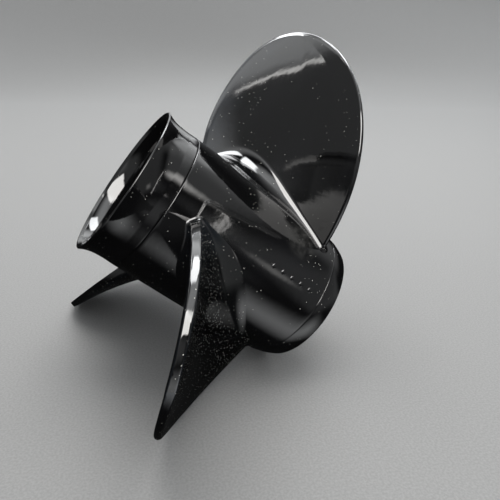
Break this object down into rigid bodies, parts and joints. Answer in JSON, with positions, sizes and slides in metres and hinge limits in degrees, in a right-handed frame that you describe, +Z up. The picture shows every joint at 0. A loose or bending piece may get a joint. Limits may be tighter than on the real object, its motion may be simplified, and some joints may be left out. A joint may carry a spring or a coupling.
{
  "type": "outboard motor propeller",
  "caption": "Boat propeller for an outboard motor: raked oval blades on an open exhaust barrel with a flared rear ring, rubber bush and splined sleeve.",
  "frame": {"origin": "on the floor that the propeller lies on, under the middle of its box", "axes": "+Z up, +X along the floor under the shaft's axis, from the flared rear end to the front end, +Y across, to the left when looking along +X"},
  "size_m": [0.163, 0.2302, 0.1792],
  "materials": {
    "gloss_black_paint": "gloss black paint on cast aluminium",
    "bush_rubber": "matt black moulded rubber",
    "sleeve_brass": "machined brass"
  },
  "bodies": {
    "root": {"hub_barrel": "gloss_black_paint", "blade_1": "gloss_black_paint", "blade_2": "gloss_black_paint", "blade_3": "gloss_black_paint", "web_1": "gloss_black_paint", "web_2": "gloss_black_paint", "web_3": "gloss_black_paint", "inner_hub": "gloss_black_paint", "diffuser_ring": "gloss_black_paint", "rubber_bush": "bush_rubber", "spline_sleeve": "sleeve_brass"}
  },
  "joints": []
}
